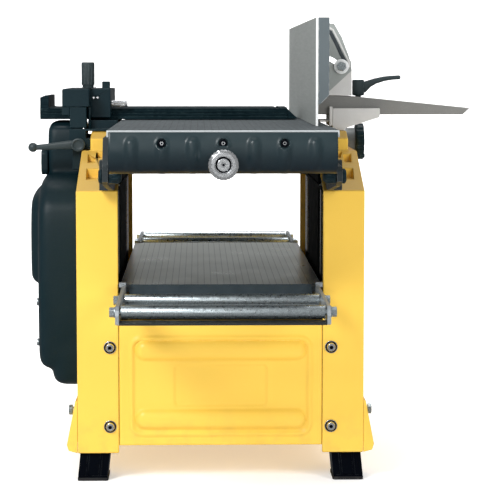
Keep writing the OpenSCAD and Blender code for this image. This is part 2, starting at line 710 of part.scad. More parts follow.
module guard_lever() color(dark) {
  rod_y(lever_x, -121, -112.6, lever_z, 9.2);
  rod_y(lever_x, -112.6, -107, lever_z, 8.7);
  rod_y(lever_x, -107, post_y - 7.3, lever_z, 4);
  slab_y(-117, -110) polygon([[lever_x, 451.5], [-249, 445.2], [-256, 443.4], [-256, 436.8], [-249, 436],
    [lever_x, 436.5]]);
  translate([-258.5, -113.5, 440]) rotate(180) sphere(r = 6.7, $fn = 48);
}

// ---- fence ----
module fence_block() color(grey) difference() {
  union() {
    slab_y(-90, -30) polygon([[159.5, 462.2], [159.5, 493.3], [226, 493.3], [226, 480.7], [180.6, 466.5],
      [176, 462.2]]);
    box([155, -90, 468.6], [159.4, -30, 495.6]);
    box([141.5, -84, 474], [155, -36, 477]);
  }
  box([150, -82.2, 484], [230, -37.8, 500]);
  rod_z(198.2, -60, 470, 490, 4 + fit);
}
module fence_arm() color(grey) difference() {
  slab_y(-82, -38) polygon([[138, 484.3], [138, 511], [186, 510.3], [354, 493.3], [344, 484.3]]);
  box([189, -65, 480], [334, -55, 520]);
  rod_z(189, -60, 480, 520, 5);
}
module fence_base() color(steel) difference() {
  union() {
    slab_y(-82.6, -40) polygon([[140, 511.2], [187, 511.2], [187, 548], [178, 548], [146, 516]]);
    slab_y(-82.6, -71) polygon([[127, 506], [146, 511.2], [186, 530], [186, 560], [167, 558], [131, 520]]);
    rod_y(tilt_x, -82.6, -71, tilt_z, 8);
    rod_y(tilt_x, -88.6, -82.6, tilt_z, 4);
    rod_y(bolt_x, -88.4, -82.6, bolt_z, 3);
    rod_y(bolt_x, -90, -88.4, bolt_z, 10);
    hex_y(bolt_x, -96, -90, bolt_z, 6.5);
  }
  box([137.5, -100, 500], [200, -30, 511.1]);
}
module fence_section(g) {
  polygon([[fence_x + g, 504 + g], [fence_x + g, 476.4 + fence_h - g], [136 - g, 476.4 + fence_h - g],
    [136 - g, 518.5 + g * 0.6], [121.6 + g * 0.4, 504 + g]]);
}
module fence_plate() color(steel) difference() {
  union() {
    slab_y(fence_y0 + 2, fence_y1 - 2) difference() {
      fence_section(0);
      fence_section(3);
    }
    box([fence_x, fence_y0, 476.4], [fence_x + 3, fence_y1, 476.4 + fence_h]);
  }
  box([fence_x + 3.3, -98, 490], [140, -69.5, 600]);
  box([fence_x + 3.3, -69.6, 490], [140, -36, 532]);
}
module fence_end() color(dark) both_end() slab_y(-2.2, 0) fence_section(0.1);
module both_end() {
  translate([3.1, fence_y0 + 1.9, 0]) intersection() {
    children();
    box([fence_x, -5, 490], [136 - 3.1, 5, 620]);
  }
  translate([3.1, fence_y1 + 0.3, 0]) intersection() {
    children();
    box([fence_x, -5, 490], [136 - 3.1, 5, 620]);
  }
}
module fence_quadrant() color(steel) difference() {
  slab_y(-88, -83) difference() {
    polygon([[122.4, 506], [128, 503], [140, 503.5], [186, 546], [186, 553], [182, 567], [172, 593],
      [161, 612], [122.4, 612]]);
    translate([tilt_x, tilt_z]) circle(r = 4 + fit, $fn = 64);
    translate([tilt_x, tilt_z]) difference() {
      circle(r = tilt_r + 3.4, $fn = 96);
      circle(r = tilt_r - 3.4, $fn = 96);
      rotate(bolt_a - 4) translate([-100, -100]) square([200, 100]);
      rotate(bolt_a + 49.5) translate([-100, 0]) square([200, 100]);
    }
  }
  box([100, -100, 590], [136.1, -50, 620]);
}
module lever_curve() {
  polygon([[202, 513], [207, 514], [209, 518], [214, 523.5], [222, 528], [234, 531.3], [247, 533],
    [258.4, 533.6], [258.4, 539.4], [246, 539], [232, 537.6], [218, 534.8], [206, 530.5], [202, 530]]);
}
module fence_lever() color(black) {
  rod_z(198.2, -60, 511, 533.5, 8.6);
  rod_z(198.2, -60, 474, 511, 4);
  slab_y(-65, -55) lever_curve();
}

side_frame_left();
side_frame_right();
front_panel();
rear_panel();
base_tray();
panel_screws();
legs();
leg_covers();
hex_bolts();
foot_pads();
inner_plates();
guide_columns();
block_bearings();
motor_housing();
motor_rotor();
drive_belt();
belt_cover();
cover_screws();
switch_box();
start_button();
stop_button();
cable_gland();
table_cheeks();
outfeed_table();
outfeed_apron();
infeed_table();
infeed_apron();
apron_screws();
depth_knob();
lock_knob_left();
lock_knob_right();
cutterblock();
knives();
feed_roller_front();
feed_roller_rear();
kickback_fingers();
feed_gearbox();
wheel_housing();
height_wheel();
lead_screw();
thickness_table();
roller_brackets();
roller_axles();
roller_front_outer();
roller_front_inner();
roller_rear_inner();
roller_rear_outer();
guard_bracket();
guard_carrier();
guard_bar();
guard_knob();
guard_screw();
guard_lever();
fence_block();
fence_arm();
fence_base();
fence_plate();
fence_end();
fence_quadrant();
fence_lever();
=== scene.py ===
"""Looks for the bench surface planer and thicknesser: materials, finer pieces, stage and camera.

Everything is in metres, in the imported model's frame: +X right, +Y along the tables, +Z up.
"""

import json
import math

import bmesh
import bpy
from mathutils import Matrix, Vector


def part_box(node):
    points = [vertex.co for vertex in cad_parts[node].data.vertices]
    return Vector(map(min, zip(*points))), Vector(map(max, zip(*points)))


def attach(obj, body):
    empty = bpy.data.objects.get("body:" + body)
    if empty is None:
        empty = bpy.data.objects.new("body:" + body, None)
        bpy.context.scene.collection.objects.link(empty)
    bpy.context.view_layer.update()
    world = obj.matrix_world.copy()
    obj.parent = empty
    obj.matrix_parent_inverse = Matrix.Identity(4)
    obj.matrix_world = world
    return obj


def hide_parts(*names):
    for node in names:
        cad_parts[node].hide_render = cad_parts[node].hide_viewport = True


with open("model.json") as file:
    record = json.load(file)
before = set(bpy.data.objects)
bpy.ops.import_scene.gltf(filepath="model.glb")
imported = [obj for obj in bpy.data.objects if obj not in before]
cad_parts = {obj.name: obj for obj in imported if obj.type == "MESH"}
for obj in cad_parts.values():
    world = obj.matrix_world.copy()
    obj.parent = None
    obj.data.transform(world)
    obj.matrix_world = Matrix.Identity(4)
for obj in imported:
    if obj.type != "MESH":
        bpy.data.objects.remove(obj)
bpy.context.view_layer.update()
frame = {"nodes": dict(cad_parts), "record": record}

MM = 0.001
NODES = frame["nodes"]


# ---- material building blocks ----
class Shader:
    """One procedural material, built from small steps that all read object coordinates."""

    def __init__(self, name, colour, metallic=0.0, roughness=0.5, **settings):
        self.material = bpy.data.materials.new(name)
        self.material.use_nodes = True
        self.tree = self.material.node_tree
        self.bsdf = self.tree.nodes["Principled BSDF"]
        self.bsdf.inputs["Metallic"].default_value = metallic
        self.bsdf.inputs["Roughness"].default_value = roughness
        self.bsdf.inputs["Base Color"].default_value = (*colour, 1)
        for socket, value in settings.items():
            self.bsdf.inputs[socket.replace("_", " ")].default_value = value
        self.coord = self.tree.nodes.new("ShaderNodeTexCoord").outputs["Object"]
        self.colour = None
        self.base = colour
        self.height = None

    def add(self, kind, **inputs):
        node = self.tree.nodes.new("ShaderNode" + kind)
        for name, value in inputs.items():
            self.put(node.inputs[name.replace("_", " ")], value)
        return node

    def put(self, socket, value):
        if isinstance(value, bpy.types.NodeSocket):
            self.tree.links.new(value, socket)
        else:
            socket.default_value = value

    def math(self, operation, a, b=0.0, clamp=False):
        node = self.tree.nodes.new("ShaderNodeMath")
        node.operation, node.use_clamp = operation, clamp
        self.put(node.inputs[0], a)
        self.put(node.inputs[1], b)
        return node.outputs[0]

    def up(self):
        """The surface normal's Z, as the piece is made."""
        coord = self.tree.nodes.new("ShaderNodeTexCoord").outputs["Normal"]
        return self.add("SeparateXYZ", Vector=coord).outputs["Z"]

    def axis(self, name):
        return self.add("SeparateXYZ", Vector=self.coord).outputs[name]

    def noise(self, size, detail=3.0, stretch=(1, 1, 1)):
        """Noise whose features are about `size` metres, longer along an axis with a small stretch value."""
        mapping = self.add("Mapping", Vector=self.coord, Scale=stretch)
        node = self.add("TexNoise", Vector=mapping.outputs[0], Scale=1 / size, Detail=detail)
        return node.outputs["Fac"]

    def cells(self, size):
        node = self.add("TexVoronoi", Vector=self.coord, Scale=1 / size)
        return node.outputs["Distance"]

    def ramp(self, value, low, high, out_low=0.0, out_high=1.0):
        node = self.add("MapRange", Value=value)
        for name, number in (("From Min", low), ("From Max", high), ("To Min", out_low), ("To Max", out_high)):
            node.inputs[name].default_value = number
        return node.outputs[0]

    def lines(self, axis, pitch, width):
        """1 on thin lines that repeat every `pitch` metres along an axis, with soft sides."""
        place = self.math("FRACT", self.math("DIVIDE", self.axis(axis), pitch))
        from_middle = self.math("ABSOLUTE", self.math("SUBTRACT", place, 0.5))
        return self.ramp(from_middle, width / pitch, width / pitch * 0.4)

    def tint(self, mask, colour):
        """Mixes a colour in where the mask is high."""
        node = self.tree.nodes.new("ShaderNodeMix")
        node.data_type = "RGBA"
        self.put(node.inputs["Factor"], mask)
        self.put(node.inputs[6], self.colour if self.colour else (*self.base, 1))
        node.inputs[7].default_value = (*colour, 1)
        self.colour = node.outputs[2]
        self.put(self.bsdf.inputs["Base Color"], self.colour)

    def rough(self, value, low, high):
        self.put(self.bsdf.inputs["Roughness"], self.ramp(value, 0.3, 0.7, low, high))

    def bump(self, height, depth):
        """Adds a height pattern, `depth` metres deep."""
        lift = self.math("MULTIPLY", height, depth)
        self.height = self.math("ADD", self.height, lift) if self.height else lift

    def worn_edges(self, colour, radius, share):
        """Lighter rubbed paint on sharp edges, broken up by noise."""
        soft = self.tree.nodes.new("ShaderNodeBevel")
        soft.samples = 4
        soft.inputs["Radius"].default_value = radius
        geometry = self.tree.nodes.new("ShaderNodeNewGeometry")
        dot = self.tree.nodes.new("ShaderNodeVectorMath")
        dot.operation = "DOT_PRODUCT"
        self.put(dot.inputs[0], soft.outputs[0])
        self.put(dot.inputs[1], geometry.outputs["Normal"])
        edge = self.ramp(dot.outputs["Value"], 0.995, 0.9)
        broken = self.ramp(self.noise(0.006, 4), 0.42, 0.62)
        self.tint(self.math("MULTIPLY", self.math("MULTIPLY", edge, broken), share), colour)

    def done(self):
        if self.height:
            node = self.add("Bump", Height=self.height)
            node.inputs["Strength"].default_value = 1.0
            node.inputs["Distance"].default_value = 1.0
            self.put(self.bsdf.inputs["Normal"], node.outputs[0])
        return self.material


# ---- materials, one function a finish ----
BRACKET_BAR_HALF = 0.1238
FENCE_NEAR_Y = -0.3175
TABLE_EDGE_X = 0.1235
TABLE_END_Y = 0.4462
# Heights of the apron's painted shade at the bottom and its painted light at the top.
APRON_SHADE_Z = 0.428
APRON_LIT_Z = 0.462
# Heights where the painted shade on upward yellow faces starts and where it is full.
SHADED_SHELF_LOW_Z = 0.375
SHADED_SHELF_HIGH_Z = 0.385
FACES_UP = 0.9
GROOVE_PITCH = 0.0086
GROOVE_WIDTH = 0.0006
WIDE_GROOVE = 0.0007


def yellow_coat():
    s = Shader("yellow_coat", (0.84, 0.54, 0.078), roughness=0.4, Specular_IOR_Level=0.25, Coat_Weight=0.1,
               Coat_Roughness=0.25)
    s.tint(s.ramp(s.noise(0.18, 3), 0.3, 0.7, 0, 0.35), (0.76, 0.46, 0.055))
    s.tint(s.ramp(s.noise(0.0015, 2), 0.62, 0.8, 0, 0.18), (1.0, 0.72, 0.2))
    s.tint(s.math("MULTIPLY", s.ramp(s.axis("Z"), 0.11, 0.035), s.ramp(s.noise(0.02, 5), 0.45, 0.75, 0, 0.5)),
           (0.52, 0.33, 0.08))
    # Painted shade: upward faces high on the yellow frame are darkened where the tables above keep the top light
    # off them.
    shelf_painted_shade = s.math("MULTIPLY", s.ramp(s.up(), 0.25, 0.5), s.ramp(s.axis("Z"), SHADED_SHELF_LOW_Z, SHADED_SHELF_HIGH_Z))
    s.tint(s.math("MULTIPLY", shelf_painted_shade, 0.6), (0.45, 0.27, 0.06))
    s.worn_edges((1.0, 0.76, 0.3), 0.0012, 0.5)
    s.rough(s.noise(0.05, 4), 0.3, 0.46)
    s.bump(s.noise(0.0022, 2), 0.00006)
    return s.done()


def moulded_plastic():
    s = Shader("moulded_plastic", (0.0025, 0.013, 0.018), roughness=0.42, Specular_IOR_Level=0.2)
    s.tint(s.ramp(s.noise(0.12, 4), 0.35, 0.7, 0, 0.5), (0.004, 0.018, 0.024))
    s.tint(s.ramp(s.noise(0.0011, 1), 0.66, 0.8, 0, 0.35), (0.02, 0.045, 0.052))
    s.worn_edges((0.06, 0.085, 0.095), 0.0012, 0.7)
    s.rough(s.noise(0.03, 4), 0.36, 0.55)
    s.bump(s.cells(0.0012), 0.00007)
    return s.done()


def black_paint():
    s = Shader("black_paint", (0.0005, 0.001, 0.003), roughness=0.45, Specular_IOR_Level=0.05)
    s.tint(s.ramp(s.noise(0.06, 4), 0.4, 0.75, 0, 0.5), (0.001, 0.003, 0.006))
    s.worn_edges((0.05, 0.058, 0.065), 0.001, 0.5)
    s.rough(s.noise(0.02, 5), 0.3, 0.5)
    s.bump(s.noise(0.0018, 2), 0.00005)
    return s.done()


def black_rubber():
    s = Shader("black_rubber", (0.014, 0.014, 0.015), roughness=0.75, Specular_IOR_Level=0.3)
    s.tint(s.ramp(s.noise(0.01, 5), 0.5, 0.8, 0, 0.6), (0.05, 0.048, 0.045))
    s.rough(s.noise(0.008, 3), 0.65, 0.85)
    s.bump(s.noise(0.001, 3), 0.0001)
    return s.done()


def bar_coat():
    """Dark green-blue paint of the guard bar, with faint drawn lines along it."""
    s = Shader("bar_coat", (0.001, 0.009, 0.013), roughness=0.5, Specular_IOR_Level=0.08)
    s.tint(s.ramp(s.noise(0.0016, 3, stretch=(0.02, 1, 1)), 0.45, 0.75, 0, 0.7), (0.012, 0.03, 0.036))
    s.worn_edges((0.04, 0.07, 0.075), 0.001, 0.7)
    s.rough(s.noise(0.01, 4), 0.42, 0.58)
    s.bump(s.noise(0.0016, 2), 0.00004)
    return s.done()


def shadow_black():
    """Dull black paint on the plates inside the frame."""
    s = Shader("shadow_black", (0.0025, 0.0035, 0.0045), roughness=0.8, Specular_IOR_Level=0.05)
    s.tint(s.ramp(s.noise(0.03, 4), 0.4, 0.75, 0, 0.6), (0.006, 0.008, 0.009))
    s.rough(s.noise(0.02, 4), 0.72, 0.88)
    s.bump(s.noise(0.002, 2), 0.00005)
    return s.done()


def bracket_zinc():
    """Zinc on the roller brackets, with painted shade on the bar under the rollers."""
    s = Shader("bracket_zinc", (0.34, 0.37, 0.39), metallic=0.5, roughness=0.42, Specular_IOR_Level=0.4)
    s.tint(s.ramp(s.noise(0.003, 5), 0.35, 0.7, 0, 0.6), (0.24, 0.27, 0.285))
    # Painted shade: the bar between the bracket cheeks is darkened to near black, standing for the rollers'
    # shadow.
    middle = s.math("LESS_THAN", s.math("ABSOLUTE", s.axis("X")), BRACKET_BAR_HALF)
    s.tint(s.math("MULTIPLY", middle, 0.94), (0.012, 0.016, 0.016))
    s.rough(s.noise(0.004, 4), 0.34, 0.5)
    s.bump(s.noise(0.0008, 2), 0.00001)
    return s.done()


def zinc_plate():
    s = Shader("zinc_plate", (0.44, 0.5, 0.525), metallic=0.95, roughness=0.32)
    s.tint(s.ramp(s.noise(0.0022, 5), 0.35, 0.7, 0, 0.4), (0.26, 0.3, 0.32))
    s.tint(s.ramp(s.noise(0.0012, 2), 0.5, 0.7, 0, 0.6), (0.86, 0.93, 0.95))
    s.rough(s.noise(0.004, 4), 0.22, 0.46)
    s.bump(s.noise(0.0006, 2, stretch=(0.03, 1, 1)), 0.000006)
    return s.done()


def polished_chrome():
    s = Shader("polished_chrome", (0.78, 0.8, 0.82), metallic=1.0, roughness=0.2)
    s.tint(s.ramp(s.noise(0.004, 5), 0.45, 0.75, 0, 0.4), (0.5, 0.52, 0.54))
    s.rough(s.noise(0.003, 4), 0.16, 0.3)
    s.bump(s.noise(0.0004, 2), 0.000008)
    return s.done()


def ground_table():
    s = Shader("ground_table", (0.23, 0.25, 0.245), metallic=0.85, roughness=0.3)
    s.tint(s.ramp(s.noise(0.16, 3), 0.3, 0.7, 0, 0.5), (0.18, 0.195, 0.19))
    s.tint(s.math("MULTIPLY", s.lines("X", GROOVE_PITCH, GROOVE_WIDTH), 0.75), (0.08, 0.085, 0.085))
    s.tint(s.ramp(s.noise(0.0007, 3, stretch=(1, 0.02, 1)), 0.5, 0.8, 0, 0.2), (0.4, 0.42, 0.41))
    s.rough(s.noise(0.003, 4, stretch=(1, 0.04, 1)), 0.2, 0.36)
    s.bump(s.noise(0.0007, 2, stretch=(1, 0.02, 1)), 0.000004)
    s.bump(s.math("SUBTRACT", 1.0, s.lines("X", GROOVE_PITCH, GROOVE_WIDTH)), 0.0001)
    return s.done()


def surfacing_table():
    s = Shader("surfacing_table", (0.1, 0.115, 0.122), metallic=0.15, roughness=0.62, Specular_IOR_Level=0.06)
    s.tint(s.ramp(s.noise(0.12, 3), 0.3, 0.7, 0, 0.5), (0.085, 0.098, 0.104))
    s.tint(s.math("MULTIPLY", s.lines("X", GROOVE_PITCH, GROOVE_WIDTH), 0.6), (0.05, 0.055, 0.06))
    # Painted highlight: the tables' ends beyond TABLE_END_Y are lightened to stand for the light caught along
    # their front edges.
    front = s.math("GREATER_THAN", s.math("ABSOLUTE", s.axis("Y")), TABLE_END_Y)
    s.tint(s.math("MULTIPLY", front, 0.9), (0.5, 0.53, 0.54))
    s.rough(s.noise(0.003, 4, stretch=(1, 0.04, 1)), 0.56, 0.68)
    s.bump(s.math("SUBTRACT", 1.0, s.lines("X", GROOVE_PITCH, GROOVE_WIDTH)), 0.00004)
    return s.done()


def thicknessing_table():
    """Ground on top, with dark cast sides and underside."""
    s = Shader("thicknessing_table", (0.022, 0.033, 0.04), metallic=0.1, roughness=0.5, Specular_IOR_Level=0.3)
    s.tint(s.ramp(s.noise(0.02, 4), 0.35, 0.7, 0, 0.6), (0.035, 0.047, 0.055))
    top = s.math("GREATER_THAN", s.up(), FACES_UP)
    s.tint(top, (0.86, 0.91, 0.86))
    s.tint(s.math("MULTIPLY", top, s.ramp(s.noise(0.16, 3), 0.3, 0.7, 0, 0.4)), (0.7, 0.745, 0.7))
    groove = s.math("MULTIPLY", s.lines("X", GROOVE_PITCH, WIDE_GROOVE), 0.6)
    s.tint(s.math("MULTIPLY", top, groove), (0.3, 0.32, 0.31))
    rim = s.math("GREATER_THAN", s.math("ABSOLUTE", s.axis("X")), TABLE_EDGE_X)
    s.tint(s.math("MULTIPLY", s.math("MULTIPLY", top, rim), 0.8), (0.95, 0.97, 0.97))
    s.put(s.bsdf.inputs["Metallic"], s.ramp(top, 0, 1, 0.1, 1.0))
    s.put(s.bsdf.inputs["Roughness"], s.ramp(s.noise(0.05, 3), 0.3, 0.7, 0.27, 0.33))
    s.bump(s.noise(0.0009, 2, stretch=(1, 0.02, 1)), 0.0000012)
    return s.done()


def dark_cast():
    s = Shader("dark_cast", (0.02, 0.027, 0.030), metallic=0.1, roughness=0.5, Specular_IOR_Level=0.2)
    s.tint(s.ramp(s.noise(0.02, 4), 0.35, 0.7, 0, 0.6), (0.036, 0.045, 0.048))
    s.worn_edges((0.2, 0.21, 0.21), 0.001, 0.8)
    s.rough(s.noise(0.01, 4), 0.4, 0.6)
    s.bump(s.noise(0.0014, 3), 0.00014)
    return s.done()


def apron_plastic():
    s = Shader("apron_plastic", (0.001, 0.006, 0.011), roughness=0.3, Specular_IOR_Level=0.32)
    # Painted light and shade: the apron is lighter towards its top and darker towards its bottom, as if lit from
    # above.
    s.tint(s.ramp(s.axis("Z"), APRON_SHADE_Z, APRON_LIT_Z), (0.016, 0.028, 0.032))
    s.tint(s.ramp(s.noise(0.05, 4), 0.35, 0.7, 0, 0.3), (0.005, 0.018, 0.024))
    s.tint(s.ramp(s.noise(0.0009, 1), 0.64, 0.8, 0, 0.3), (0.03, 0.05, 0.056))
    s.rough(s.noise(0.02, 4), 0.28, 0.42)
    s.bump(s.cells(0.0011), 0.00004)
    return s.done()


def fence_cap():
    s = Shader("fence_cap", (0.098, 0.118, 0.127), roughness=0.5, metallic=0.1, Specular_IOR_Level=0.2)
    s.tint(s.ramp(s.noise(0.04, 4), 0.35, 0.7, 0, 0.5), (0.118, 0.14, 0.15))
    s.worn_edges((0.5, 0.52, 0.52), 0.0012, 1.0)
    s.rough(s.noise(0.01, 4), 0.38, 0.55)
    s.bump(s.noise(0.0012, 3), 0.00007)
    return s.done()


def band_grey():
    s = Shader("band_grey", (0.05, 0.06, 0.068), roughness=0.5, metallic=0.4)
    s.tint(s.ramp(s.noise(0.01, 4), 0.4, 0.7, 0, 0.5), (0.09, 0.1, 0.11))
    s.rough(s.noise(0.006, 3), 0.4, 0.6)
    s.bump(s.noise(0.001, 3), 0.00006)
    return s.done()


def cast_metal():
    s = Shader("cast_metal", (0.2, 0.215, 0.215), metallic=0.6, roughness=0.5)
    s.tint(s.ramp(s.noise(0.03, 4), 0.35, 0.7, 0, 0.6), (0.08, 0.085, 0.09))
    s.tint(s.ramp(s.noise(0.0014, 2), 0.6, 0.8, 0, 0.5), (0.22, 0.23, 0.23))
    s.rough(s.noise(0.01, 4), 0.45, 0.68)
    s.bump(s.noise(0.0016, 3), 0.00018)
    return s.done()


def anodised_fence():
    s = Shader("anodised_fence", (0.35, 0.375, 0.362), metallic=0.4, roughness=0.48, Specular_IOR_Level=0.3)
    s.tint(s.ramp(s.noise(0.1, 3), 0.3, 0.7, 0, 0.4), (0.4, 0.425, 0.41))
    s.tint(s.ramp(s.noise(0.0012, 3, stretch=(1, 0.015, 1)), 0.5, 0.8, 0, 0.2), (0.5, 0.52, 0.51))
    s.tint(s.math("LESS_THAN", s.axis("Y"), FENCE_NEAR_Y), (0.9, 0.92, 0.92))
    s.rough(s.noise(0.003, 4, stretch=(1, 0.05, 1)), 0.42, 0.54)
    s.bump(s.noise(0.0006, 2, stretch=(1, 0.02, 1)), 0.000004)
    return s.done()


def blasted_aluminium():
    s = Shader("blasted_aluminium", (0.66, 0.655, 0.64), metallic=0.2, roughness=0.5, Specular_IOR_Level=0.4)
    s.tint(s.ramp(s.noise(0.02, 4), 0.35, 0.7, 0, 0.4), (0.52, 0.52, 0.51))
    s.tint(s.ramp(s.noise(0.0009, 2), 0.6, 0.8, 0, 0.4), (0.8, 0.8, 0.78))
    s.rough(s.noise(0.006, 4), 0.42, 0.6)
    s.bump(s.noise(0.0009, 3), 0.00009)
    return s.done()


def grip_plastic():
    s = Shader("grip_plastic", (0.024, 0.036, 0.039), roughness=0.42, Specular_IOR_Level=0.35)
    s.tint(s.ramp(s.noise(0.03, 4), 0.35, 0.7, 0, 0.5), (0.032, 0.046, 0.049))
    s.worn_edges((0.12, 0.14, 0.145), 0.001, 0.7)
    s.rough(s.noise(0.012, 4), 0.34, 0.5)
    s.bump(s.cells(0.0011), 0.00005)
    return s.done()


def grey_enamel():
    s = Shader("grey_enamel", (0.19, 0.19, 0.18), roughness=0.42, metallic=0.25)
    s.tint(s.ramp(s.noise(0.05, 4), 0.35, 0.7, 0, 0.5), (0.24, 0.24, 0.225))
    s.tint(s.ramp(s.noise(0.0012, 2), 0.62, 0.8, 0, 0.5), (0.36, 0.36, 0.34))
    s.worn_edges((0.5, 0.5, 0.48), 0.001, 0.7)
    s.rough(s.noise(0.012, 4), 0.36, 0.54)
    s.bump(s.noise(0.0013, 3), 0.00009)
    return s.done()


def bright_steel():
    s = Shader("bright_steel", (0.86, 0.88, 0.88), metallic=0.25, roughness=0.35, Specular_IOR_Level=0.5)
    s.tint(s.ramp(s.noise(0.003, 4), 0.4, 0.75, 0, 0.35), (0.66, 0.68, 0.69))
    s.rough(s.noise(0.002, 4), 0.28, 0.44)
    s.bump(s.noise(0.0006, 2), 0.00001)
    return s.done()


def ground_steel():
    s = Shader("ground_steel", (0.45, 0.46, 0.47), metallic=1.0, roughness=0.3)
    s.tint(s.ramp(s.noise(0.012, 5), 0.4, 0.75, 0, 0.6), (0.3, 0.3, 0.3))
    s.rough(s.noise(0.002, 4), 0.22, 0.42)
    s.bump(s.noise(0.0007, 2), 0.00003)
    return s.done()


def gloss_button(name, colour, light):
    s = Shader(name, colour, roughness=0.25, Coat_Weight=0.4)
    s.tint(s.ramp(s.noise(0.004, 3), 0.4, 0.8, 0, 0.4), light)
    s.rough(s.noise(0.002, 3), 0.18, 0.34)
    s.bump(s.noise(0.0008, 2), 0.00002)
    return s.done()


FINISHES = {
    "yellow": yellow_coat(),
    "black_steel": black_paint(),
    "black_plastic": moulded_plastic(),
    "rubber": black_rubber(),
    "zinc": zinc_plate(),
    "chrome": polished_chrome(),
    "table_alu": ground_table(),
    "cast_alu": cast_metal(),
    "fence_alu": anodised_fence(),
    "light_alu": blasted_aluminium(),
    "arm_grey": grey_enamel(),
    "tool_steel": ground_steel(),
    "surfacing": surfacing_table(),
    "thicknessing": thicknessing_table(),
    "dark_cast": dark_cast(),
    "apron_plastic": apron_plastic(),
    "fence_cap": fence_cap(),
    "band_grey": band_grey(),
    "bar_coat": bar_coat(),
    "bright_steel": bright_steel(),
    "shadow_black": shadow_black(),
    "bracket_zinc": bracket_zinc(),
    "grip_plastic": grip_plastic(),
    "green_button": gloss_button("green_button", (0.01, 0.2, 0.05), (0.03, 0.3, 0.1)),
    "red_button": gloss_button("red_button", (0.5, 0.01, 0.01), (0.65, 0.04, 0.03)),
}


# ---- the CAD nodes: their own shapes, with softened edges and real finishes ----
EDGE_WIDTH = {
    "front_panel": 1.3, "rear_panel": 1.3, "side_frame_left": 2.0, "side_frame_right": 2.0, "leg_covers": 1.2,
    "infeed_apron": 0.9, "outfeed_apron": 0.9, "guard_carrier": 1.2, "guard_bar": 0.35, "fence_block": 0.8,
    "fence_arm": 0.9, "fence_base": 0.9, "motor_housing": 0.6, "thickness_table": 0.4, "height_wheel": 0.9,
    "switch_box": 1.2, "panel_screws": 0.5, "depth_knob": 0.4, "feed_gearbox": 1.5,
}
DEFAULT_EDGE = 0.4
# Nodes whose look differs from the rest of their material slot
NODE_FINISH = {
    "infeed_table": "surfacing", "outfeed_table": "surfacing", "thickness_table": "thicknessing",
    "table_cheeks": "dark_cast", "fence_end": "fence_cap", "apron_screws": "black_steel",
    "fence_quadrant": "fence_alu", "guard_bar": "bar_coat", "inner_plates": "shadow_black",
    "roller_brackets": "bracket_zinc", "guard_bracket": "black_plastic", "guard_knob": "grip_plastic",
}


def soften(node):
    """Rounds a CAD node's edges with modifiers; its mesh stays as packed."""
    piece = NODES[node]
    weld = piece.modifiers.new("weld", "WELD")
    weld.merge_threshold = 2e-6
    flat = piece.modifiers.new("flat", "DECIMATE")
    flat.decimate_type = "DISSOLVE"
    flat.angle_limit = math.radians(0.8)
    bevel = piece.modifiers.new("edges", "BEVEL")
    bevel.width = EDGE_WIDTH.get(node, DEFAULT_EDGE) * MM
    bevel.segments = 3
    bevel.limit_method = "ANGLE"
    bevel.angle_limit = math.radians(32)
    bevel.use_clamp_overlap = False
    bevel.harden_normals = True


def dress_frame():
    slots = {part["node"]: part["material_slot"] for part in frame["record"]["subparts"]}
    for node, piece in NODES.items():
        piece.data.materials.clear()
        piece.data.materials.append(FINISHES[NODE_FINISH.get(node, slots[node])])
        soften(node)


# ---- mesh helpers for the finer pieces ----
def add_piece(name, mesh, finish, body, replaced=(), smooth_angle=40):
    """Links a mesh as a piece that rides on a body and, where named, stands for CAD nodes."""
    mesh.materials.append(FINISHES[finish])
    piece = bpy.data.objects.new(name, mesh)
    bpy.context.scene.collection.objects.link(piece)
    mesh.shade_smooth()
    mesh.set_sharp_from_angle(angle=math.radians(smooth_angle))
    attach(piece, body)
    if replaced:
        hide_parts(*replaced)
    return piece


def mesh_from(name, verts, faces):
    mesh = bpy.data.meshes.new(name)
    mesh.from_pydata([Vector(v) * MM for v in verts], [], faces)
    bm = bmesh.new()
    bm.from_mesh(mesh)
    bmesh.ops.remove_doubles(bm, verts=bm.verts, dist=1e-6)
    bmesh.ops.recalc_face_normals(bm, faces=bm.faces)
    bm.to_mesh(mesh)
    bm.free()
    return mesh


def grid_faces(rows, columns, closed_rows=False, closed_columns=False):
    """Quads between neighbouring rows of points."""
    faces = []
    for r in range(rows if closed_rows else rows - 1):
        for c in range(columns if closed_columns else columns - 1):
            r2, c2 = (r + 1) % rows, (c + 1) % columns
            faces.append([r * columns + c, r * columns + c2, r2 * columns + c2, r2 * columns + c])
    return faces


def lathe(origin, axis, profile, steps=64):
    """Verts and faces of a turned shape: (along, radius) pairs round an axis."""
    along = Vector(axis).normalized()
    side = along.orthogonal().normalized()
    other = along.cross(side)
    verts, faces = [], []
    for t, radius in profile:
        for k in range(steps):
            a = 2 * math.pi * k / steps
            verts.append(Vector(origin) + along * t + (side * math.cos(a) + other * math.sin(a)) * radius)
    faces += grid_faces(len(profile), steps, closed_columns=True)
    faces.append(list(range(steps)))
    faces.append(list(range((len(profile) - 1) * steps, len(profile) * steps)))
    return verts, faces


def sweep(path, steps=20):
    """Verts and faces of a rounded bar: (x, y, z, half width in Y, half height across) along a path in XZ."""
    verts = []
    for i, (x, y, z, wide, high) in enumerate(path):
        a, b = path[max(i - 1, 0)], path[min(i + 1, len(path) - 1)]
        run = Vector((b[0] - a[0], 0, b[2] - a[2])).normalized()
        up = Vector((-run.z, 0, run.x))
        for k in range(steps):
            t = 2 * math.pi * k / steps
            c, sn = math.cos(t), math.sin(t)
            square = (abs(c) ** 3 + abs(sn) ** 3) ** (-1 / 3)
            verts.append(Vector((x, y, z)) + Vector((0, 1, 0)) * (wide * c * square) + up * (high * sn * square))
    faces = grid_faces(len(path), steps, closed_columns=True)
    faces.append(list(range(steps)))
    faces.append(list(range((len(path) - 1) * steps, len(path) * steps)))
    return verts, faces


def joined(*parts):
    verts, faces = [], []
    for v, f in parts:
        faces += [[i + len(verts) for i in face] for face in f]
        verts += v
    return verts, faces


